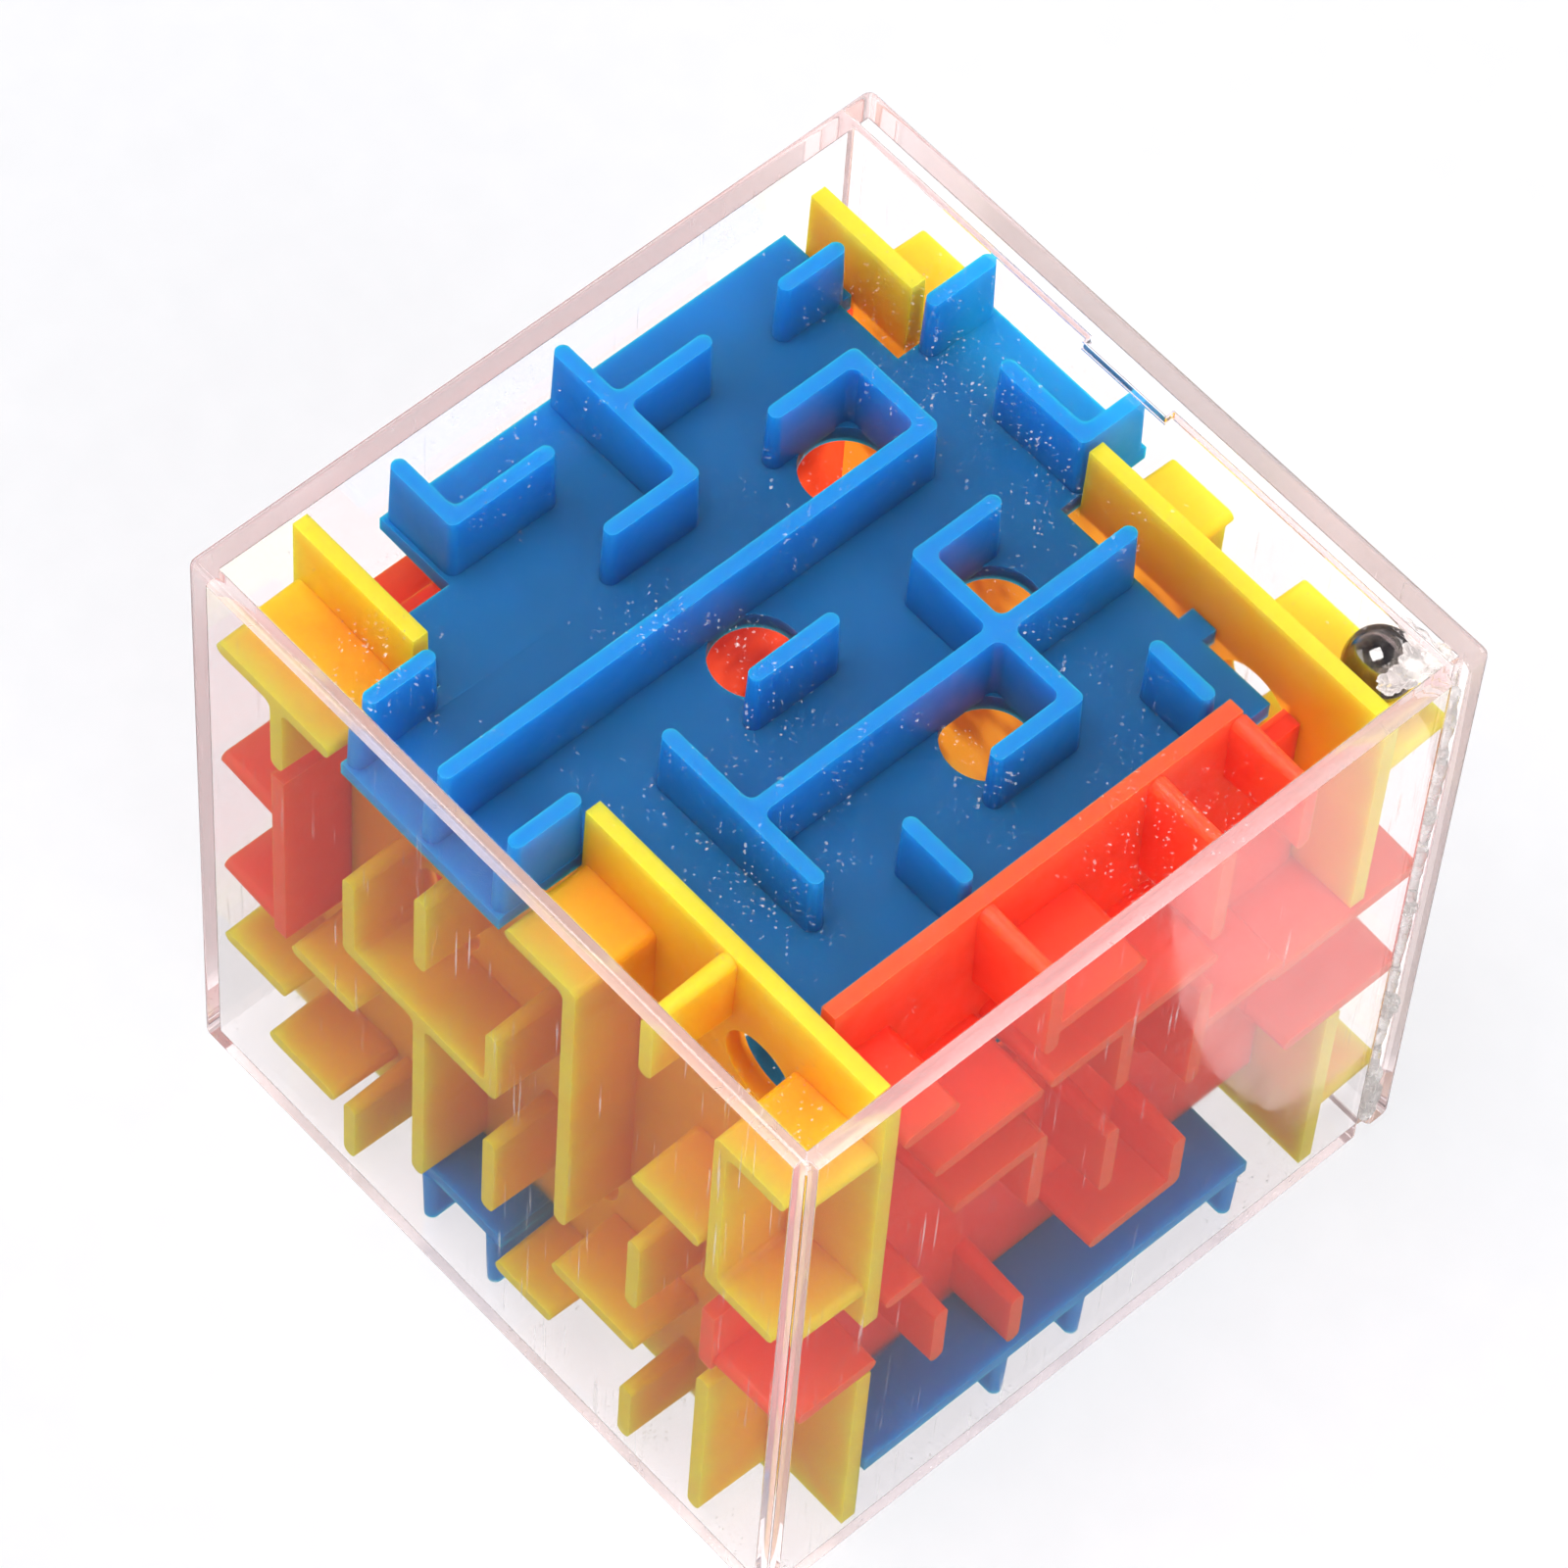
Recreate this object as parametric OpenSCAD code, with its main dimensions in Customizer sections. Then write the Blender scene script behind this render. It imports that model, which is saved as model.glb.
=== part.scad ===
// Cube maze game: six interlocking coloured maze plates inside a clear
// cemented box, with one steel ball that runs through the lanes.
// Z is up. The origin is the centre of the face that the box stands on.

/* [Clear box] */
// Outside edge of the box
box_size = 40; // [36:0.5:60]
// Wall thickness of the box and of the cover
box_wall = 1; // [0.8:0.05:1.1]
// Height of the cover's rim, measured in from the rear face
rim_depth = 1.9; // [1.5:0.1:2.2]
// Depth of the tongue that locates the cover
tongue_depth = 0.45; // [0.3:0.05:0.6]

/* [Maze core] */
// Thickness of each maze plate
plate_t = 1.05; // [0.9:0.05:1.2]
// Thickness of the maze walls
maze_wall_t = 1; // [0.8:0.1:1.1]
// Diameter of the holes through the plates
hole_d = 4.4; // [3.6:0.1:4.6]
// Gap between the wall tips and the clear box
tip_gap = 0.15; // [0.1:0.05:0.4]
// Gap where two plates meet
joint_gap = 0.1; // [0.05:0.05:0.2]

/* [Ball] */
// Diameter of the steel ball
ball_d = 3.5; // [2.5:0.1:3.5]
// Place of the ball along its ledge, from the middle of the box, in lanes
ball_lane = 3.35; // [2.8:0.05:3.4]

/* [Cement] */
// Thickness of the cement bead along the seam
bead_d = 0.8; // [0.5:0.05:0.9]
// Number of lumps on the bead
bead_lumps = 9; // [3:1:14]

/* [Hidden] */
$fn = 48;

half = box_size / 2;
inner = half - box_wall;
// Four lanes fit on each side of the middle; the outer one is cut short by the box.
outer_trim = 0.4;
lane = (inner + outer_trim) / 4;
seam_y = half - rim_depth;
reach = inner - tip_gap;
plate_mid = 3 * lane;
plate_in = plate_mid - plate_t / 2;
plate_out = plate_mid + plate_t / 2;
plate_edge = (plate_in - joint_gap) / lane;
overlap = 0.2;
fit_gap = 0.05;
groove = 0.5;
ledge_top = plate_mid + maze_wall_t / 2;
ball_y = inner - ball_d / 2 - fit_gap;
rear_edge = 13.05;
smear_t = 0.3;
smear_gap = 0.01;
drip_d = 0.68;
lens_r = 4.2;

case_color = [0.86, 0.84, 0.84, 0.3];
cement_color = [0.9, 0.88, 0.86, 0.6];
blue = [0.05, 0.42, 0.8];
yellow = [0.85, 0.68, 0.1];
red = [0.95, 0.27, 0.14];
steel = [0.6, 0.6, 0.62];

// Maze walls are runs between lane crossings: [column, row, column, row].
// Columns and rows count lanes from the middle of the face.
blue_field = [
    [-2, 2, -1, 2], [-2, 2, -2, 1.05], [-1, 2, -1, -3.1], [0, 1.87, 0, 1], [0, 1, 2, 1],
    [1.04, 2.58, 1.04, -2], [2, 1, 2, 0.1], [0, -0.1, 0, -0.98], [0, -2, 1.9, -2],
    [-2.7, 0, -2, 0], [-2, 0, -2, -0.93]];
top_edge_walls = [
    [-3, 2.68, -3, 2.07], [-3, 1.05, -3, 0], [-3.74, 0, -2.7, 0], [-3, -0.85, -3, -1.95],
    [-3.74, -1.95, -3, -1.95], [-1, -3, -1, -3.74],
    [2.11, 1.93, 2.73, 1.93], [2.05, -1, 2.73, -1], [-2.02, -3.1, -2.02, -3.74],
    [-0.06, -3.1, -0.06, -3.74], [-2, 3, -2, 3.66], [0, 3, 0, 3.66], [-1, 3, 0, 3]];
bottom_edge_walls = [
    [-1.03, -3, -1.03, -3.66], [-0.1, -2, -0.1, -3.66], [2, -1, 3.74, -1], [2, 0, 3.74, 0],
    [1.9, 2.02, 3.74, 2.02], [-1.03, 3, -1.03, 3.66], [-0.1, 3, -0.1, 3.66]];
yellow_field = [
    [-1, 2, -1, 1], [1, 3, 1, -1], [-2, 1.1, -2, 0], [-2, 0, 0, 0], [0, 0.9, 0, 0],
    [-1, 0, -1, -2.74], [0, -1, 0, -2.1], [-2.74, -1, -2, -1], [2, 1, 2.74, 1],
    [2, -0.2, 2, -1.2], [1, -2, 2, -2]];
front_edge_walls = [
    [-3.74, 3, -2.35, 3], [-3, 3, -3, 2], [0.22, 3, 1, 3], [2, 3.74, 2, 3], [3, 3, 3, 0.6],
    [3, 3, 3.74, 3], [3, 0.6, 3.74, 0.6], [-3.74, -2, -3, -2], [-3.1, -3.05, -2.3, -3.05], [0.22, -3.05, 0.85, -3.05],
    [2, -3, 2, -3.74], [3, -1.4, 3, -3.74], [-2, -3, -2, -3.74]];
rear_edge_walls = [
    [-3, 3, -2.35, 3], [-3, 3, -3, 2], [0.4, 3, 1.08, 3], [2.14, 3, 3.74, 3],
    [3, -1.4, 3, -3], [-3, -3, -2.3, -3], [2, -3, 3.74, -3]];
red_field = [
    [-2.3, 2, -1.15, 2], [-0.9, 2, 1, 2], [0, 2, 0, 0.95], [-2, 1, -1, 1],
    [-1, 1, -1, -0.05], [0, 0, 0, -0.9], [1, 1.5, 1, -0.05], [1, 0.8, 2, 0.8],
    [-2.74, 0.1, -2.45, 0.1], [-2.05, -1, -2.05, -1.75], [-1, -2, -1, -2.65],
    [1, -1.3, 1, -2], [0, -2, 1, -2]];
right_edge_walls = [
    [-2.74, 3, -2.25, 3], [-1, 3, 0, 3], [-1.05, 3.74, -1.05, 2.75], [1, 3.74, 1, 2.5], [2, 3.74, 2, 3],
    [2, 0.7, 3.74, 0.7], [2.4, -1, 3.74, -1], [-3.74, -0.9, -2.95, -0.9]];
left_edge_walls = [
    [-3.74, 0.95, -2.1, 0.95], [-3.74, -0.92, -3, -0.92], [-2, -3, -2, -3.74],
    [0, -3, 0, -3.74], [2, 0.7, 3.74, 0.7], [2.4, -1, 3.74, -1]];

// Holes at the middles of lanes: [column, row].
blue_holes = [[-1.5, 1.5], [-0.5, -0.5], [1.5, 0.5], [0.5, 1.5]];
yellow_holes = [[2.5, 2.5], [-1.5, 0.5], [0.5, -1.5]];
red_holes = [[-0.5, 1.5], [1.5, -0.5]];

// Tabs that carry a plate past its neighbours: [column, row, column, row].
top_tabs = [[-3.84, -2.1, -2.7, 2.85], [-2.1, -3.88, 0.05, -2.7], [-2.1, 2.7, 0.1, 3.78]];
bottom_tabs = [[2.7, -2.85, 3.88, 2.1], [-1.12, -3.73, 0.03, -2.7], [-1.12, 2.7, 0.03, 3.73]];
front_tabs = [[-3.88, 2.7, -2.22, 3.88], [0.1, 2.7, 3.88, 3.88], [2.7, 0, 3.88, 3.88],
    [-3.88, -3.88, -1.2, -2.7], [0.1, -3.88, 3.88, -2.7], [2.7, -3.88, 3.88, -1.05],
    [-3.88, -3.88, -2.7, -1.04]];
rear_tabs = [[-3.6, 2.7, -2.22, 3.88], [0.16, 2.7, 3.88, 3.88], [2.7, 0.88, 3.88, 3.88],
    [-3.88, -3.88, -1.2, -2.7], [0.1, -3.88, 3.88, -2.7], [2.7, -3.88, 3.88, -1.16],
    [-3.88, -3.88, -2.7, -1.16]];
right_tabs = [[-2.84, 2.7, 2.05, 3.88], [-3.88, -1, -2.7, -0.05], [2.7, -1.11, 3.82, 0.83]];
left_tabs = [[-2.84, -3.88, 2.84, -2.7], [-3.88, -0.98, -2.7, 1.72], [2.7, -1.11, 3.82, 0.83]];

// A flat outline made of one square and the tabs that stand out of it.
module plate_plan(tabs) {
    square(2 * plate_edge * lane, center = true);
    for (t = tabs)
        translate([t[0] * lane, t[1] * lane])
            square([(t[2] - t[0]) * lane, (t[3] - t[1]) * lane]);
}

// One maze wall in plan, with round ends, between two lane crossings.
module wall_run(run) {
    start = [run[0], run[1]] * lane;
    end = [run[2], run[3]] * lane;
    low = [min(start.x, end.x), min(start.y, end.y)];
    size = [abs(end.x - start.x), abs(end.y - start.y)];
    along = size.x > size.y ? [0, 1] : [1, 0];
    translate(low - along * maze_wall_t / 2) square(size + along * maze_wall_t);
    translate(start) circle(d = maze_wall_t);
    translate(end) circle(d = maze_wall_t);
}

// A plate facing up: outline, holes and the walls on its outer side.
module maze_plate(tabs, walls, holes) {
    translate([0, 0, plate_in]) linear_extrude(plate_t) difference() {
        plate_plan(tabs);
        for (h = holes) translate(h * lane) circle(d = hole_d);
    }
    translate([0, 0, plate_out - overlap]) linear_extrude(reach - plate_out + overlap)
        for (run = walls) wall_run(run);
}

// Places: each turns an upward plate to one side of the core.
module at_middle() { translate([0, 0, half]) children(); }
module face_front() { at_middle() rotate([90, 0, 0]) children(); }
module face_rear() { at_middle() mirror([0, 1, 0]) rotate([90, 0, 0]) children(); }
module face_right() { at_middle() rotate([90, 0, 90]) children(); }
module face_left() { at_middle() mirror([1, 0, 0]) rotate([90, 0, 90]) children(); }
module face_down() { at_middle() mirror([0, 0, 1]) children(); }

// Groove along the right-hand seam that the cement fills.
module seam_groove() {
    translate([half - groove, seam_y - groove, -half - overlap])
        cube([groove + overlap, 2 * groove, box_size + 2 * overlap]);
}

module case() {
    color(case_color) at_middle() difference() {
        translate([-half, -half, -half]) cube([box_size, half + seam_y, box_size]);
        translate([-inner, -inner, -inner]) cube([2 * inner, inner + half, 2 * inner]);
        seam_groove();
        translate([-0.7 * lane, seam_y - tongue_depth - fit_gap, inner - overlap])
            cube([1.1 * lane, tongue_depth + fit_gap + overlap, box_wall + 2 * overlap]);
    }
}

module cover() {
    color(case_color) at_middle() difference() {
        union() {
            translate([-half, seam_y, -half]) cube([box_size, rim_depth, box_size]);
            translate([-0.7 * lane + fit_gap, seam_y - tongue_depth, inner])
                cube([1.1 * lane - 2 * fit_gap, rim_depth, box_wall]);
        }
        translate([-inner, 0, -inner]) cube([2 * inner, inner, 2 * inner]);
        seam_groove();
    }
}

// Squeezed-out cement: a thin bead with lumps of uneven size along it.
module seam_bead() {
    bead_h = box_size * 0.93;
    color(cement_color) translate([half - bead_d / 8, seam_y, box_size * 0.035]) {
        cylinder(d = bead_d, h = bead_h);
        for (i = [0 : bead_lumps - 1])
            translate([bead_d / 12, 0, bead_h * (i + 0.5 + 0.3 * sin(i * 137)) / bead_lumps])
                sphere(d = bead_d * (1.08 + 0.08 * sin(i * 95)));
    }
}

// Cement that ran inside the box: a thin lens under its top beside the ball,
// and a drip with lumps down the rear right-hand corner.
module corner_smear() {
    drip_h = inner - ledge_top - 2 * fit_gap;
    in_corner = inner - smear_gap - drip_d / 2;
    color(cement_color) at_middle() {
        intersection() {
            union() {
                translate([inner - 1.6, inner - 1.5, inner - smear_t + lens_r])
                    sphere(lens_r, $fn = 96);
                translate([inner - 2.3, inner - 2.9, inner - 0.8 * smear_t + lens_r])
                    sphere(lens_r, $fn = 96);
            }
            translate([0, 0, inner - smear_t])
                cube([inner - smear_gap, inner - smear_gap, smear_t - smear_gap]);
        }
        translate([in_corner, in_corner, inner - drip_h])
            cylinder(d = drip_d, h = drip_h - smear_gap);
    }
}

// The top plate stops short of the rear plate, except at its tab and a nub.
module top_plate() {
    nub = [1.5, plate_in - joint_gap - rear_edge + overlap];
    base = plate_edge * lane;
    color(blue) at_middle() {
        difference() {
            maze_plate(top_tabs, concat(blue_field, top_edge_walls), blue_holes);
            translate([-base - overlap, rear_edge, plate_in - overlap])
                cube([base - 2.1 * lane + overlap, lane, plate_t + overlap]);
            translate([0.1 * lane, rear_edge, plate_in - overlap])
                cube([base, lane, plate_t + overlap]);
        }
        translate([1.67 * lane, rear_edge - overlap, plate_in])
            cube([nub.x, nub.y, plate_t]);
    }
}

module bottom_plate() {
    color(blue) face_down()
        maze_plate(bottom_tabs, concat(blue_field, bottom_edge_walls), blue_holes);
}

module front_plate() {
    color(yellow) face_front()
        maze_plate(front_tabs, concat(yellow_field, front_edge_walls), yellow_holes);
}

module rear_plate() {
    color(yellow) face_rear()
        maze_plate(rear_tabs, concat(yellow_field, rear_edge_walls), yellow_holes);
}

module right_plate() {
    color(red) face_right()
        maze_plate(right_tabs, concat(red_field, right_edge_walls), red_holes);
}

module left_plate() {
    color(red) face_left()
        maze_plate(left_tabs, concat(red_field, left_edge_walls), red_holes);
}

// The ball lies on the rear plate's ledge, in the top right-hand corner.
module ball() {
    color(steel) at_middle()
        translate([ball_lane * lane, ball_y, ledge_top + fit_gap + ball_d / 2])
            sphere(d = ball_d, $fn = 96);
}

case();
cover();
seam_bead();
corner_smear();
top_plate();
bottom_plate();
front_plate();
rear_plate();
left_plate();
right_plate();
ball();
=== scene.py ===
"""Looks of the cube maze: clear box, six maze plates, steel ball, cement, on a pale floor."""
import math

import bmesh
import bpy
from mathutils import Matrix, Vector, noise


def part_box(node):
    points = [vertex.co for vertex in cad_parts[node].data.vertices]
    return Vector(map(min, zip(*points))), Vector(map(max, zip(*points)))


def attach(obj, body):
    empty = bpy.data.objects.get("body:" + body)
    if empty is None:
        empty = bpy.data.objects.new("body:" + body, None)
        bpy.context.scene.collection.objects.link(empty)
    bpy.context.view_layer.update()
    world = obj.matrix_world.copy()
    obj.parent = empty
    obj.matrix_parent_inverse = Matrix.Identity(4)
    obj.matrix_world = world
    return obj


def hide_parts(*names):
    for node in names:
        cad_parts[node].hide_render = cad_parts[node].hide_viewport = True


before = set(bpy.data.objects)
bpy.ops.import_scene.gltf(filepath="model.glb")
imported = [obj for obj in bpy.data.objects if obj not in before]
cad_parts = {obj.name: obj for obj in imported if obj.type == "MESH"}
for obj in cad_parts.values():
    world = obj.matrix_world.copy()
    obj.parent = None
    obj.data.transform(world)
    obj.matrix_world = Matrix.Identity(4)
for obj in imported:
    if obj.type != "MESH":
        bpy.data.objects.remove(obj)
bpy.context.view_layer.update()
MM = 0.001
MIDDLE = Vector((0, 0, 0.02))
SCENE = bpy.context.scene
SCENE.view_settings.view_transform = "Standard"


# Distances from the middle of the cube, in metres: the plates' inner faces, and wall roots to tips.
INNER_FACE = (0.01405, 0.01435)
ROOT_TO_TIP = (0.0135, 0.019)
# Where the thin tabs at the upper rear edge get their painted backlight glow, an emission standing in for
# light from behind.
PAINTED_BACKLIGHT_REAR = (0.0142, 0.0165)
PAINTED_BACKLIGHT_UPPER = (0.0325, 0.0342)
TAB_START = 0.0177

# Rounding and mould draft of the pieces.
WALL_EDGE = 0.14 * MM
WALL_FILLET = 0.45 * MM
WALL_DRAFT = 0.11 * MM
BOX_OUTER_EDGE = 0.55 * MM
BOX_EDGE = 0.12 * MM
SHORTEST_FILLET = 2.5 * MM
TOUCH = 0.01 * MM

# Floor light, straight and through the clear box, whose walls hold some of it back.
FLOOR_GLOW = 0.66
FLOOR_GLOW_THROUGH_BOX = 1.2
FLOOR_HALF_SIDE = 1.2
FLOOR_HEIGHT = -0.2 * MM

# Camera: heading, height and tilt in degrees, lens in mm, distance and shifts in metres.
CAMERA_ANGLES = (43.9734, 57.5737, -4.8226)
CAMERA_LENS = 175.836
CAMERA_SENSOR = 36
CAMERA_DISTANCE = 0.3471316
CAMERA_SHIFT = (-0.0015056, -0.0029494)

# Lamps: name, place, size, power, colour.
WARM_WHITE = (1, 0.99, 0.98)
LAMPS = [("key", (-0.1, -0.2, 0.85), (0.5, 0.5), 5.2, WARM_WHITE),
         ("fill", (-0.5, -0.5, 0.25), (0.5, 0.5), 1.5, WARM_WHITE),
         ("side", (0.65, -0.1, 0.5), (0.5, 0.5), 3.2, WARM_WHITE),
         ("rear", (0.1, 0.75, 0.45), (0.7, 0.4), 2.2, (1, 1, 1))]
# The glare is a stack of small ovals, each a step larger, so that its edge is soft.
GLARE_PLACE = (0.1516, 0.187, -0.3166)
GLARE_COLOUR = (1, 0.93, 0.94)
GLARE_STEPS = 6
GLARE_SIZE = (0.012, 0.026)
GLARE_GROWTH = (0.0026, 0.004)
GLARE_POWER = 1.9


# ---------------------------------------------------------------- materials

def new_material(name):
    mat = bpy.data.materials.new(name)
    mat.use_nodes = True
    tree = mat.node_tree
    shader = tree.nodes["Principled BSDF"]
    return mat, tree, shader


def node(tree, kind, values=None, **settings):
    """A new node with its settings and its input values."""
    made = tree.nodes.new(kind)
    for key, value in settings.items():
        setattr(made, key, value)
    for key, value in (values or {}).items():
        made.inputs[key].default_value = value
    return made


def object_coords(tree):
    return node(tree, "ShaderNodeTexCoord").outputs["Object"]


def noise_tex(tree, coords, scale, detail=3.0, rough=0.5):
    tex = node(tree, "ShaderNodeTexNoise", {"Scale": scale, "Detail": detail, "Roughness": rough})
    tree.links.new(coords, tex.inputs["Vector"])
    return tex.outputs["Fac"]


def remap(tree, value, low, high, to_low, to_high):
    made = node(tree, "ShaderNodeMapRange",
                {"From Min": low, "From Max": high, "To Min": to_low, "To Max": to_high})
    tree.links.new(value, made.inputs["Value"])
    return made.outputs["Result"]


def colour_ramp(tree, value, stops):
    made = node(tree, "ShaderNodeValToRGB")
    ramp = made.color_ramp
    ramp.elements[0].position, ramp.elements[0].color = stops[0][0], (*stops[0][1], 1)
    ramp.elements[1].position, ramp.elements[1].color = stops[-1][0], (*stops[-1][1], 1)
    for place, colour in stops[1:-1]:
        ramp.elements.new(place).color = (*colour, 1)
    tree.links.new(value, made.inputs["Fac"])
    return made.outputs["Color"]


def height_from_core(tree, coords):
    """How far out from the middle of the cube a point lies, whichever side it is on."""
    shift = node(tree, "ShaderNodeVectorMath", {1: -MIDDLE}, operation="ADD")
    tree.links.new(coords, shift.inputs[0])
    fold = node(tree, "ShaderNodeVectorMath", operation="ABSOLUTE")
    tree.links.new(shift.outputs[0], fold.inputs[0])
    split = node(tree, "ShaderNodeSeparateXYZ")
    tree.links.new(fold.outputs[0], split.inputs[0])
    far = split.outputs[0]
    for other in (split.outputs[1], split.outputs[2]):
        pick = node(tree, "ShaderNodeMath", operation="MAXIMUM")
        tree.links.new(far, pick.inputs[0])
        tree.links.new(other, pick.inputs[1])
        far = pick.outputs[0]
    return far


def plastic(name, stops, glow, radius_mm, inside, behind):
    """Translucent moulded plastic, deep at the wall roots and paler at the wall tips: partly the tint of thick
    plastic against thin, partly painted shade down in the lanes.
    The faces inside the core get a painted glow, an emission standing in for the light that the thin plates
    let in, and the thin tabs at the upper rear edge get a painted backlight glow, standing in for the light
    behind them."""
    mat, tree, shader = new_material(name)
    coords = object_coords(tree)
    cloud = remap(tree, noise_tex(tree, coords, 220, 4), 0.25, 0.75, -0.0006, 0.0006)
    height = node(tree, "ShaderNodeMath", operation="ADD")
    tree.links.new(height_from_core(tree, coords), height.inputs[0])
    tree.links.new(cloud, height.inputs[1])
    # Colour ramp from wall root to tip, deep at the roots and lane floors and paler at the tips: partly the
    # tint of thick plastic against thin, partly painted shade in the lanes.
    along = remap(tree, height.outputs[0], *ROOT_TO_TIP, 0.0, 1.0)
    tree.links.new(colour_ramp(tree, along, stops), shader.inputs["Base Color"])
    # Painted glow (emission) on the faces inside the core, standing in for the light the thin plates let in;
    # it fades out across the plates' inner faces and is made uneven by noise.
    lit = remap(tree, height_from_core(tree, coords), *INNER_FACE, 1.0, 0.0)
    uneven = remap(tree, noise_tex(tree, coords, 260, 2), 0.38, 0.6, 0.2, 1.2)
    inner = node(tree, "ShaderNodeMath", operation="MULTIPLY")
    tree.links.new(lit, inner.inputs[0])
    tree.links.new(uneven, inner.inputs[1])
    # Painted backlight glow (emission) on the thin tabs at the upper rear edge, standing in for the light
    # behind them.
    place = node(tree, "ShaderNodeSeparateXYZ")
    tree.links.new(coords, place.inputs[0])
    rear = remap(tree, place.outputs[1], *PAINTED_BACKLIGHT_REAR, 0.0, 1.0)
    upper = remap(tree, place.outputs[2], *PAINTED_BACKLIGHT_UPPER, 0.0, 1.0)
    backlit = node(tree, "ShaderNodeMath", operation="MULTIPLY")
    tree.links.new(rear, backlit.inputs[0])
    tree.links.new(upper, backlit.inputs[1])
    painted_glow_strength = node(tree, "ShaderNodeMath", operation="ADD")
    tree.links.new(inner.outputs[0], painted_glow_strength.inputs[0])
    tree.links.new(backlit.outputs[0], painted_glow_strength.inputs[1])
    tree.links.new(colour_ramp(tree, backlit.outputs[0], [(0.0, inside), (0.02, behind)]),
                   shader.inputs["Emission Color"])
    tree.links.new(painted_glow_strength.outputs[0], shader.inputs["Emission Strength"])
    haze = noise_tex(tree, coords, 900, 5, 0.6)
    tree.links.new(remap(tree, haze, 0.3, 0.7, 0.32, 0.5), shader.inputs["Roughness"])
    peel = noise_tex(tree, coords, 2600, 2)
    wave = noise_tex(tree, coords, 320, 2)
    fine = node(tree, "ShaderNodeBump", {"Strength": 0.12, "Distance": 0.00003})
    broad = node(tree, "ShaderNodeBump", {"Strength": 0.35, "Distance": 0.0001})
    tree.links.new(peel, fine.inputs["Height"])
    tree.links.new(wave, broad.inputs["Height"])
    tree.links.new(broad.outputs["Normal"], fine.inputs["Normal"])
    tree.links.new(fine.outputs["Normal"], shader.inputs["Normal"])
    shader.inputs["Subsurface Weight"].default_value = 1.0
    shader.inputs["Subsurface Radius"].default_value = glow
    shader.inputs["Subsurface Scale"].default_value = radius_mm * MM
    shader.inputs["IOR"].default_value = 1.45
    shader.inputs["Specular IOR Level"].default_value = 0.25
    return mat


def clear_plastic(name):
    """Polystyrene box: clear, with rubbed and scratched faces."""
    mat, tree, shader = new_material(name)
    coords = object_coords(tree)
    rub = noise_tex(tree, coords, 160, 4, 0.6)
    tree.links.new(remap(tree, rub, 0.45, 0.75, 0.012, 0.07), shader.inputs["Roughness"])
    warp = noise_tex(tree, coords, 60, 2)
    ripple = node(tree, "ShaderNodeBump", {"Strength": 0.25, "Distance": 0.0001})
    tree.links.new(warp, ripple.inputs["Height"])
    tree.links.new(ripple.outputs["Normal"], shader.inputs["Normal"])
    shader.inputs["Base Color"].default_value = (0.97, 0.955, 0.955, 1)
    shader.inputs["Transmission Weight"].default_value = 1.0
    shader.inputs["IOR"].default_value = 1.58
    scuffed = scratches(tree, coords, shader.outputs["BSDF"])
    # The last colour is the painted light of the pale edge bands, where light runs along inside the box walls.
    lamps_through(tree, scuffed, (0.95, 0.94, 0.94, 1), (0.9, 0.84, 0.84, 1))
    return mat


def scratches(tree, coords, surface):
    """Short fine white scratches, gathered in rubbed patches."""
    patch = remap(tree, noise_tex(tree, coords, 130, 3, 0.6), 0.5, 0.68, 0.0, 1.0)
    for turn, seed in (((0.3, 0.5, 0.9), (0, 0, 0)), ((1.2, -0.4, 0.2), (3, 1, 2))):
        spin = node(tree, "ShaderNodeMapping", {"Rotation": turn, "Scale": (1, 1, 0.035), "Location": seed})
        tree.links.new(coords, spin.inputs["Vector"])
        line = remap(tree, noise_tex(tree, spin.outputs["Vector"], 3600, 1), 0.7, 0.78, 0.0, 0.5)
        both = node(tree, "ShaderNodeMath", operation="MULTIPLY")
        tree.links.new(line, both.inputs[0])
        tree.links.new(patch, both.inputs[1])
        white = node(tree, "ShaderNodeBsdfDiffuse", {"Color": (0.9, 0.88, 0.88, 1)})
        mix = node(tree, "ShaderNodeMixShader")
        tree.links.new(both.outputs[0], mix.inputs["Fac"])
        tree.links.new(surface, mix.inputs[1])
        tree.links.new(white.outputs["BSDF"], mix.inputs[2])
        surface = mix.outputs["Shader"]
    return surface


def lamps_through(tree, surface, tint, painted_guided_light=None):
    """Lets lamp light reach what the clear box shuts in.
    Rays that have reflected more than once inside a wall end on a pale diffuse and translucent surface:
    painted light standing in for the light that runs along inside the walls and shows as pale edge bands."""
    path = node(tree, "ShaderNodeLightPath")
    if painted_guided_light:
        near = node(tree, "ShaderNodeBsdfDiffuse", {"Color": painted_guided_light})
        far = node(tree, "ShaderNodeBsdfTranslucent", {"Color": painted_guided_light})
        both = node(tree, "ShaderNodeMixShader", {"Fac": 0.5})
        tree.links.new(near.outputs["BSDF"], both.inputs[1])
        tree.links.new(far.outputs["BSDF"], both.inputs[2])
        many = node(tree, "ShaderNodeMath", {1: 1.5}, operation="GREATER_THAN")
        tree.links.new(path.outputs["Glossy Depth"], many.inputs[0])
        ended = node(tree, "ShaderNodeMixShader")
        tree.links.new(many.outputs[0], ended.inputs["Fac"])
        tree.links.new(surface, ended.inputs[1])
        tree.links.new(both.outputs["Shader"], ended.inputs[2])
        surface = ended.outputs["Shader"]
    clear = node(tree, "ShaderNodeBsdfTransparent", {"Color": tint})
    mix = node(tree, "ShaderNodeMixShader")
    tree.links.new(path.outputs["Is Shadow Ray"], mix.inputs["Fac"])
    tree.links.new(surface, mix.inputs[1])
    tree.links.new(clear.outputs["BSDF"], mix.inputs[2])
    tree.links.new(mix.outputs["Shader"], tree.nodes["Material Output"].inputs["Surface"])


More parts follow.
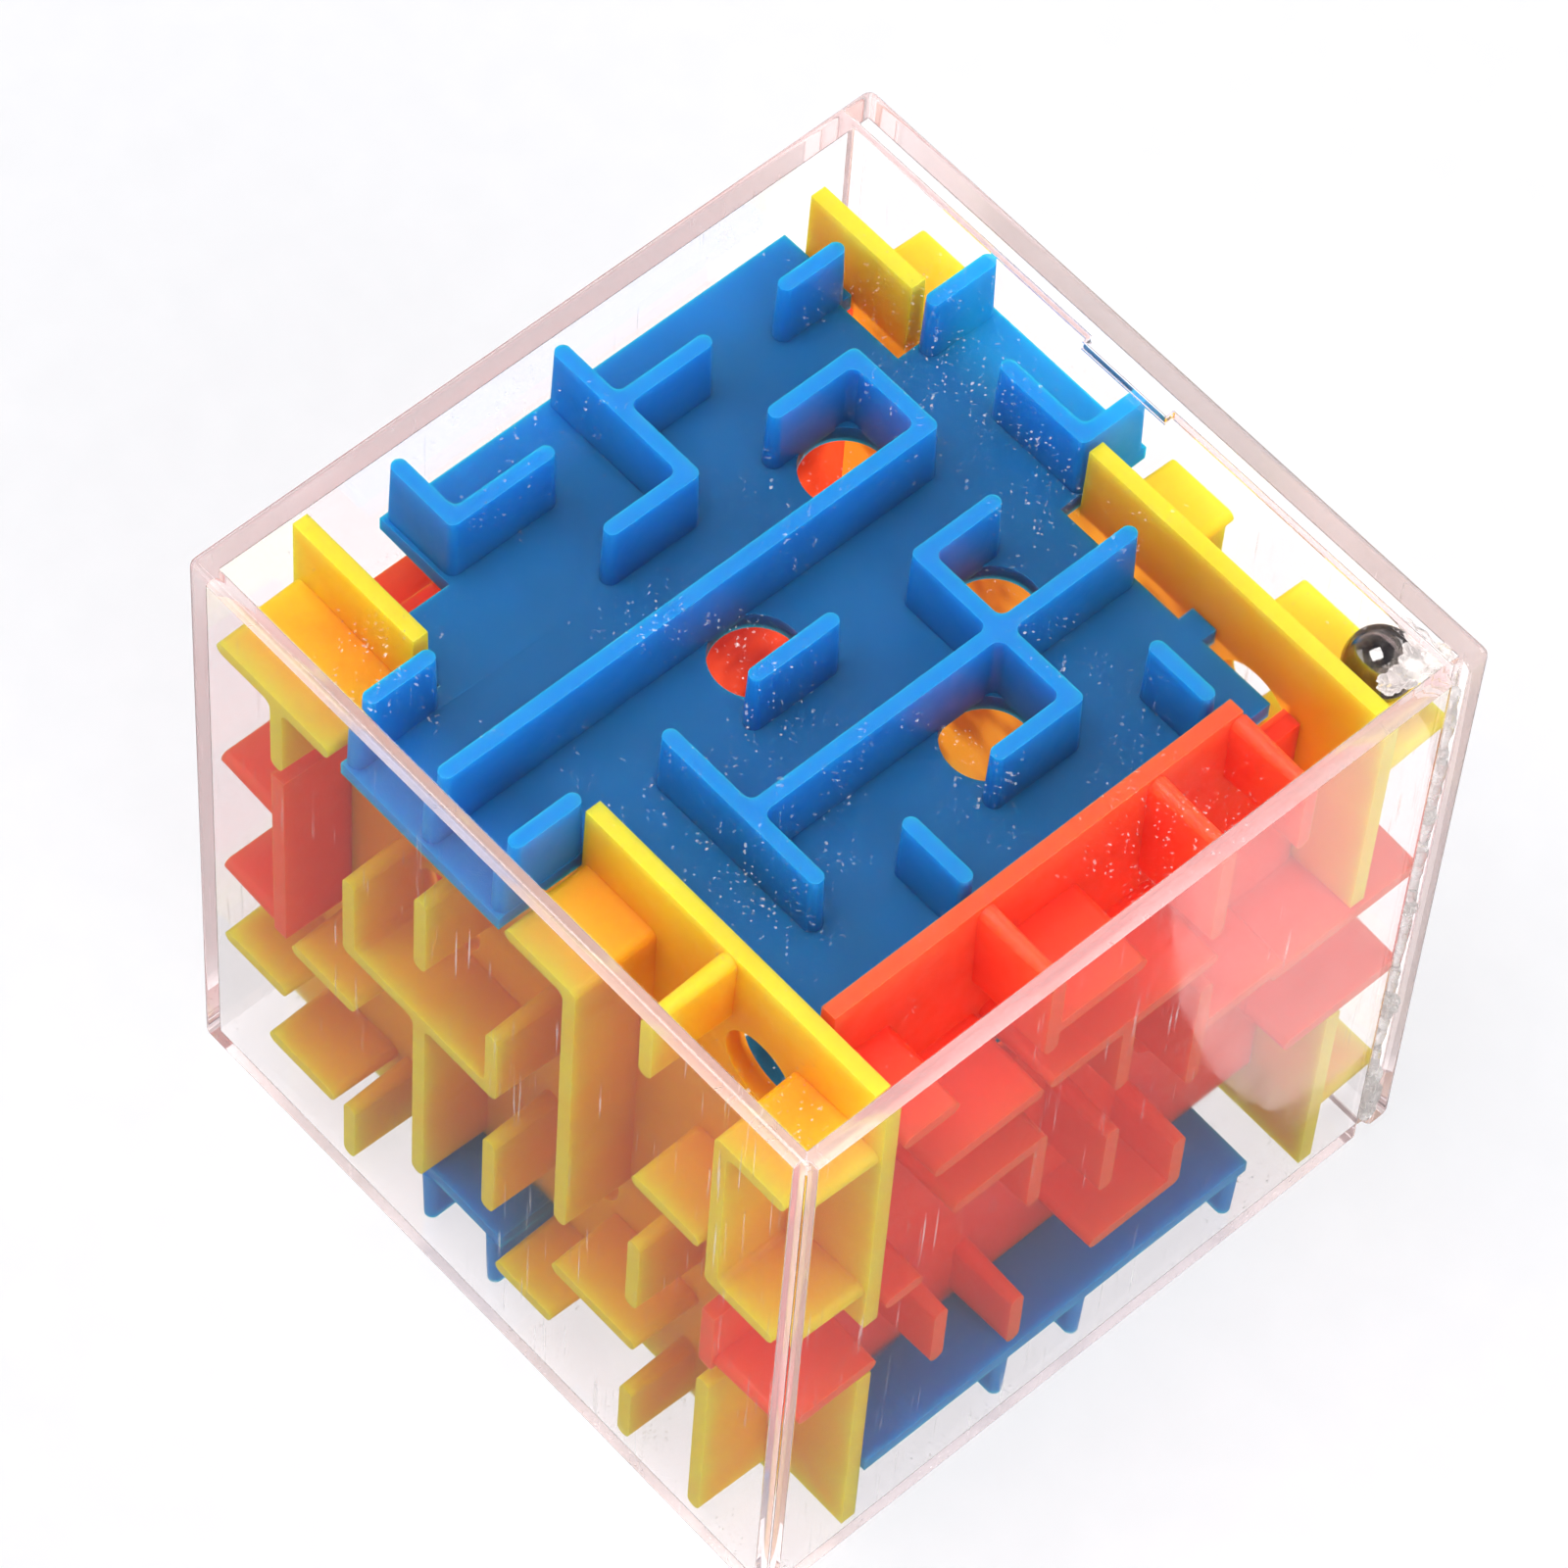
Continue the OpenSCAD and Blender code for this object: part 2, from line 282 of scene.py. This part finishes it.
def dried_cement(name):
    mat, tree, shader = new_material(name)
    coords = object_coords(tree)
    cloud = noise_tex(tree, coords, 900, 4)
    tree.links.new(colour_ramp(tree, cloud, [(0.3, (0.8, 0.77, 0.76)), (0.7, (0.97, 0.96, 0.95))]),
                   shader.inputs["Base Color"])
    tree.links.new(remap(tree, cloud, 0.35, 0.7, 0.08, 0.4), shader.inputs["Roughness"])
    bump = node(tree, "ShaderNodeBump", {"Strength": 0.6, "Distance": 0.0001})
    tree.links.new(noise_tex(tree, coords, 1500, 3), bump.inputs["Height"])
    tree.links.new(bump.outputs["Normal"], shader.inputs["Normal"])
    shader.inputs["Transmission Weight"].default_value = 0.75
    shader.inputs["IOR"].default_value = 1.45
    # The last colour is the painted light for rays that have reflected more than once inside the cement.
    lamps_through(tree, shader.outputs["BSDF"], (0.9, 0.9, 0.9, 1), (0.85, 0.83, 0.82, 1))
    return mat


def polished_steel(name):
    mat, tree, shader = new_material(name)
    coords = object_coords(tree)
    smear = noise_tex(tree, coords, 1400, 4)
    tree.links.new(colour_ramp(tree, smear, [(0.35, (0.2, 0.2, 0.2)), (0.7, (0.34, 0.33, 0.32))]),
                   shader.inputs["Base Color"])
    tree.links.new(remap(tree, smear, 0.4, 0.7, 0.07, 0.2), shader.inputs["Roughness"])
    shader.inputs["Metallic"].default_value = 1.0
    return mat


def pale_floor(name):
    mat, tree, shader = new_material(name)
    grain = noise_tex(tree, object_coords(tree), 400, 3)
    tree.links.new(colour_ramp(tree, grain, [(0.3, (0.3, 0.3, 0.31)), (0.7, (0.32, 0.32, 0.33))]),
                   shader.inputs["Base Color"])
    shader.inputs["Roughness"].default_value = 0.7
    shader.inputs["Specular IOR Level"].default_value = 0.1
    shader.inputs["Emission Color"].default_value = (0.97, 0.975, 1.0, 1)
    # Reflections in the box do not show the bright floor, so the plates behind stay clear.
    path = node(tree, "ShaderNodeLightPath")
    mirrored = node(tree, "ShaderNodeMath", {1: 1.0, 2: 0.4}, operation="COMPARE")
    tree.links.new(path.outputs["Glossy Depth"], mirrored.inputs[0])
    # Seen through the box the floor is brighter, to make up for what its walls hold back.
    tree.links.new(remap(tree, path.outputs["Transmission Depth"], 0.4, 0.6,
                         FLOOR_GLOW, FLOOR_GLOW_THROUGH_BOX),
                   shader.inputs["Emission Strength"])
    mix = node(tree, "ShaderNodeMixShader")
    tree.links.new(mirrored.outputs[0], mix.inputs["Fac"])
    tree.links.new(shader.outputs["BSDF"], mix.inputs[1])
    tree.links.new(node(tree, "ShaderNodeBsdfTransparent").outputs["BSDF"], mix.inputs[2])
    tree.links.new(mix.outputs["Shader"], tree.nodes["Material Output"].inputs["Surface"])
    return mat


# Each plastic gets its colour ramp from wall root to tip, whose darker root colours are partly painted shade
# in the lanes, then its painted glow inside the core, then the painted backlight glow of its rear tabs.
BLUE = plastic("blue_plastic", [(0.0, (0.002, 0.1, 0.25)), (0.3, (0.003, 0.13, 0.35)),
                                (0.7, (0.004, 0.18, 0.52)), (1.0, (0.006, 0.23, 0.62))],
               (0.1, 0.85, 1.0), 2.2, (0.01, 0.17, 0.3), (0.0, 0.13, 0.17))
YELLOW = plastic("yellow_plastic", [(0.0, (0.78, 0.25, 0.008)), (0.45, (0.82, 0.35, 0.01)),
                                    (0.8, (0.82, 0.48, 0.015)), (1.0, (0.74, 0.61, 0.04))],
                 (1.0, 0.75, 0.06), 2.2, (0.5, 0.24, 0.015), (0.16, 0.2, 0.015))
RED = plastic("red_plastic", [(0.0, (0.78, 0.028, 0.008)), (0.3, (0.86, 0.04, 0.012)),
                              (0.7, (0.98, 0.065, 0.02)), (1.0, (1.0, 0.11, 0.035))],
              (1.0, 0.24, 0.06), 2.2, (0.6, 0.065, 0.015), (0.1, 0.02, 0.01))
CLEAR = clear_plastic("clear_box")
CEMENT = dried_cement("cement")
STEEL = polished_steel("steel")


# ---------------------------------------------------------------- pieces

def keep_faces_flat(mesh):
    """Broad faces stay flat to the eye and only the rounded edges between them bend the light."""
    around = [[] for _ in mesh.vertices]
    for face in mesh.polygons:
        for v in face.vertices:
            around[v].append((face.normal.copy(), face.area))
    bent = [None] * len(mesh.loops)
    for face in mesh.polygons:
        for loop, v in zip(face.loop_indices, face.vertices):
            near = [normal * area for normal, area in around[v] if normal.dot(face.normal) > 0.55]
            bent[loop] = sum(near, Vector()).normalized()
    mesh.normals_split_custom_set(bent)


def add_piece(name, bm, material, body, stands_for):
    mesh = bpy.data.meshes.new(name)
    bm.to_mesh(mesh)
    bm.free()
    mesh.materials.append(material)
    mesh.shade_smooth()
    keep_faces_flat(mesh)
    piece = bpy.data.objects.new(name, mesh)
    SCENE.collection.objects.link(piece)
    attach(piece, body)
    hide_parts(stands_for)
    return piece


def solid_of(node_name):
    """The CAD solid as clean flat faces, ready to be rounded."""
    bm = bmesh.new()
    bm.from_mesh(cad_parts[node_name].data)
    bmesh.ops.remove_doubles(bm, verts=bm.verts, dist=1e-6)
    bmesh.ops.dissolve_limit(bm, angle_limit=math.radians(0.6), verts=bm.verts, edges=bm.edges)
    bmesh.ops.recalc_face_normals(bm, faces=bm.faces)
    return bm


def round_edges(bm, width, steps, angle=30):
    sharp = [e for e in bm.edges
             if len(e.link_faces) == 2 and e.calc_face_angle(0) > math.radians(angle)]
    bmesh.ops.bevel(bm, geom=sharp, offset=width, offset_type="OFFSET", segments=steps,
                    profile=0.5, affect="EDGES", clamp_overlap=True)


def fillet_corners(bm, axis, width):
    """Rounds the inside corners where two maze walls meet."""
    inner = []
    for e in bm.edges:
        if len(e.link_faces) != 2 or e.calc_length() < SHORTEST_FILLET:
            continue
        line = (e.verts[1].co - e.verts[0].co).normalized()
        if abs(line[axis]) > 0.95 and e.calc_face_angle_signed(0) < -math.radians(60):
            inner.append(e)
    bmesh.ops.bevel(bm, geom=inner, offset=width, offset_type="OFFSET", segments=4,
                    profile=0.5, affect="EDGES", clamp_overlap=True)


def draft_tips(bm, axis, sign, draft):
    """Leans the wall sides in towards their tips, as a mould needs, on walls and tabs alike."""
    tip_side = max(sign * (v.co[axis] - MIDDLE[axis]) for v in bm.verts)
    moves = {}
    for v in bm.verts:
        place = v.co - MIDDLE
        at_wall_tip = sign * place[axis] > tip_side - TOUCH
        at_tab_tip = any(abs(place[k]) > TAB_START for k in range(3) if k != axis)
        if not at_wall_tip and not at_tab_tip:
            continue
        if at_wall_tip:
            sides = [f.normal for f in v.link_faces if abs(f.normal[axis]) < 0.1]
        else:
            sides = [f.normal for f in v.link_faces if abs(f.normal[axis]) > 0.9]
        if not sides:
            continue
        first = sides[0]
        other = min(sides, key=lambda n: n.dot(first))
        moves[v] = -(first + other) * draft / max(0.4, 1 + first.dot(other))
    for v, move in moves.items():
        v.co += move


def maze_plate(node_name, material, axis, sign):
    bm = solid_of(node_name)
    draft_tips(bm, axis, sign, WALL_DRAFT)
    bm.normal_update()
    fillet_corners(bm, axis, WALL_FILLET)
    round_edges(bm, WALL_EDGE, 2)
    return add_piece(node_name + "_look", bm, material, "box", node_name)


def clear_part(node_name):
    """A part of the clear box, with well rounded outer edges and small inner ones."""
    bm = solid_of(node_name)
    low = Vector(map(min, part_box("case")[0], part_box("cover")[0]))
    high = Vector(map(max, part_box("case")[1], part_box("cover")[1]))

    def outer_planes(v):
        return {(k, side) for k in range(3) for side in (0, 1)
                if abs(v.co[k] - (low, high)[side][k]) < TOUCH}

    outer = [e for e in bm.edges if len(outer_planes(e.verts[0]) & outer_planes(e.verts[1])) == 2]
    bmesh.ops.bevel(bm, geom=outer, offset=BOX_OUTER_EDGE, offset_type="OFFSET", segments=5,
                    profile=0.5, affect="EDGES", clamp_overlap=True)
    round_edges(bm, BOX_EDGE, 2, angle=60)
    return add_piece(node_name + "_look", bm, CLEAR, "box", node_name)


maze_plate("top_plate", BLUE, 2, 1)
maze_plate("bottom_plate", BLUE, 2, -1)
maze_plate("front_plate", YELLOW, 1, -1)
maze_plate("rear_plate", YELLOW, 1, 1)
maze_plate("right_plate", RED, 0, 1)
maze_plate("left_plate", RED, 0, -1)
clear_part("case")
clear_part("cover")

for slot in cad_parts["ball"].material_slots:
    slot.material = STEEL


def lump(bm, place, size, seed, wobble):
    """One blob of set cement: an uneven, flattened drop."""
    made = bmesh.ops.create_icosphere(bm, subdivisions=4, radius=1.0)
    for v in made["verts"]:
        way = v.co.normalized()
        swell = 1 + wobble * noise.fractal(way * 1.7 + Vector((seed, 2 * seed, 0)), 0.7, 2.1, 4)
        v.co = Vector([place[k] + way[k] * size[k] * min(swell, 1.25) for k in range(3)])


def keep_inside(bm, low, high):
    for v in bm.verts:
        v.co = Vector([min(max(v.co[k], low[k]), high[k]) for k in range(3)])


def seam_bead():
    """A thin uneven line of cement in the seam, with a crust of lumps near its foot."""
    low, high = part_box("seam_bead")
    seam_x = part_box("case")[1].x
    seam_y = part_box("cover")[0].y + 0.45 * MM
    bm = bmesh.new()
    rings, sides = 260, 14
    loops = []
    for i in range(rings):
        z = low.z + (high.z - low.z) * i / (rings - 1)
        grain = noise.fractal(Vector((3.1, 0.4, z * 420)), 0.8, 2.0, 4)
        slow = noise.noise(Vector((0.2, 5.5, z * 160)))
        radius = (0.26 + 0.12 * grain + 0.1 * max(0, slow)) * MM
        radius = max(0.12 * MM, radius) * (0.25 if i in (0, rings - 1) else 1)
        drift = 0.1 * MM * noise.noise(Vector((9.0, 1.0, z * 300)))
        loop = []
        for k in range(sides):
            turn = 2 * math.pi * k / sides
            rough = 1 + 0.25 * noise.noise(Vector((math.cos(turn), math.sin(turn), z * 900)))
            loop.append(bm.verts.new((seam_x - 0.15 * MM + radius * rough * math.cos(turn),
                                      seam_y + drift + radius * rough * math.sin(turn), z)))
        loops.append(loop)
    for a, b in zip(loops, loops[1:]):
        for k in range(sides):
            bm.faces.new((a[k], a[(k + 1) % sides], b[(k + 1) % sides], b[k]))
    bm.faces.new(reversed(loops[0]))
    bm.faces.new(loops[-1])
    for z, size, seed in ((12.2, (0.5, 0.42, 0.6), 1), (11.6, (0.42, 0.5, 0.4), 2),
                          (4.4, (0.5, 0.5, 0.9), 3), (3.4, (0.45, 0.55, 0.7), 4),
                          (2.5, (0.5, 0.45, 0.6), 5), (5.6, (0.35, 0.45, 0.6), 6),
                          (28.4, (0.35, 0.35, 0.4), 7), (20.6, (0.32, 0.4, 0.5), 8)):
        lump(bm, (seam_x - 0.12 * MM, seam_y, z * MM), [s * MM for s in size], seed, 0.5)
    keep_inside(bm, low, high)
    bmesh.ops.recalc_face_normals(bm, faces=bm.faces)
    add_piece("seam_bead_look", bm, CEMENT, "box", "seam_bead")


def corner_smear():
    """Cement that ran in at the corner: a few clear drops round the end of the ball."""
    low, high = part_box("corner_smear")
    bm = bmesh.new()
    top = high.z
    for place, size, seed in (((18.0, 17.5), (0.8, 0.7, 0.3), 11), ((18.2, 16.6), (0.6, 0.8, 0.34), 12),
                              ((17.3, 18.3), (0.9, 0.45, 0.32), 13), ((18.45, 18.3), (0.6, 0.6, 0.6), 14),
                              ((18.1, 15.7), (0.5, 0.6, 0.26), 15), ((16.4, 18.4), (0.5, 0.3, 0.3), 16)):
        lump(bm, (place[0] * MM, place[1] * MM, top), [s * MM for s in size], seed, 0.45)
    for z, width, seed in ((38.0, 0.3, 21), (37.2, 0.34, 22), (36.4, 0.28, 23), (35.8, 0.3, 24)):
        lump(bm, (high.x - 0.2 * MM, high.y - 0.2 * MM, z * MM), [width * MM, width * MM, 0.6 * MM], seed, 0.4)
    keep_inside(bm, low, high)
    bmesh.ops.recalc_face_normals(bm, faces=bm.faces)
    add_piece("corner_smear_look", bm, CEMENT, "box", "corner_smear")


seam_bead()
corner_smear()


# ---------------------------------------------------------------- stage

def make_floor():
    bm = bmesh.new()
    bmesh.ops.create_grid(bm, x_segments=8, y_segments=8, size=FLOOR_HALF_SIDE)
    mesh = bpy.data.meshes.new("floor")
    bm.to_mesh(mesh)
    bm.free()
    mesh.materials.append(pale_floor("floor_paper"))
    floor = bpy.data.objects.new("floor", mesh)
    floor.location.z = FLOOR_HEIGHT
    SCENE.collection.objects.link(floor)
    floor.visible_glossy = False


def soft_light(name, place, size, power, colour, shape="RECTANGLE"):
    light = bpy.data.lights.new(name, "AREA")
    light.shape = shape
    light.size, light.size_y = size
    light.energy = power
    light.color = colour
    lamp = bpy.data.objects.new(name, light)
    lamp.location = place
    aim = MIDDLE - Vector(place)
    lamp.rotation_euler = aim.to_track_quat("-Z", "Y").to_euler()
    SCENE.collection.objects.link(lamp)


def make_world():
    world = bpy.data.worlds.new("studio")
    world.use_nodes = True
    tree = world.node_tree
    back = tree.nodes["Background"]
    coords = node(tree, "ShaderNodeTexCoord").outputs["Generated"]
    split = node(tree, "ShaderNodeSeparateXYZ")
    tree.links.new(coords, split.inputs["Vector"])
    tree.links.new(colour_ramp(tree, split.outputs["Z"],
                               [(0.0, (0.17, 0.165, 0.165)), (0.35, (0.3, 0.3, 0.31)),
                                (0.8, (0.06, 0.06, 0.07))]),
                   back.inputs["Color"])
    back.inputs["Strength"].default_value = 1.0
    SCENE.world = world


def make_camera():
    """The viewing angle that the object is shown from."""
    turn, rise, roll = map(math.radians, CAMERA_ANGLES)
    back = Vector((math.sin(turn) * math.cos(rise), -math.cos(turn) * math.cos(rise), math.sin(rise)))
    right = Vector((math.cos(turn), math.sin(turn), 0))
    down = (-back).cross(right)
    across = math.cos(roll) * right + math.sin(roll) * down
    under = -math.sin(roll) * right + math.cos(roll) * down
    data = bpy.data.cameras.new("camera")
    data.lens, data.sensor_width = CAMERA_LENS, CAMERA_SENSOR
    data.clip_start, data.clip_end = 0.01, 10
    cam = bpy.data.objects.new("camera", data)
    cam.rotation_mode = "QUATERNION"
    turn_matrix = Matrix((across, -under, back)).transposed()
    cam.rotation_quaternion = turn_matrix.to_quaternion()
    cam.location = (MIDDLE + back * CAMERA_DISTANCE
                    + across * CAMERA_SHIFT[0] + under * CAMERA_SHIFT[1])
    SCENE.collection.objects.link(cam)
    SCENE.camera = cam


make_floor()
make_world()
for name, place, size, power, colour in LAMPS:
    soft_light(name, place, size, power, colour)
# Seen only as the pale glare on the right-hand face: the floor hides it from everything else.
for step in range(GLARE_STEPS):
    width, height = (GLARE_SIZE[k] + GLARE_GROWTH[k] * step for k in (0, 1))
    soft_light("glare", GLARE_PLACE, (width, height), GLARE_POWER * width * height,
               GLARE_COLOUR, "ELLIPSE")
make_camera()
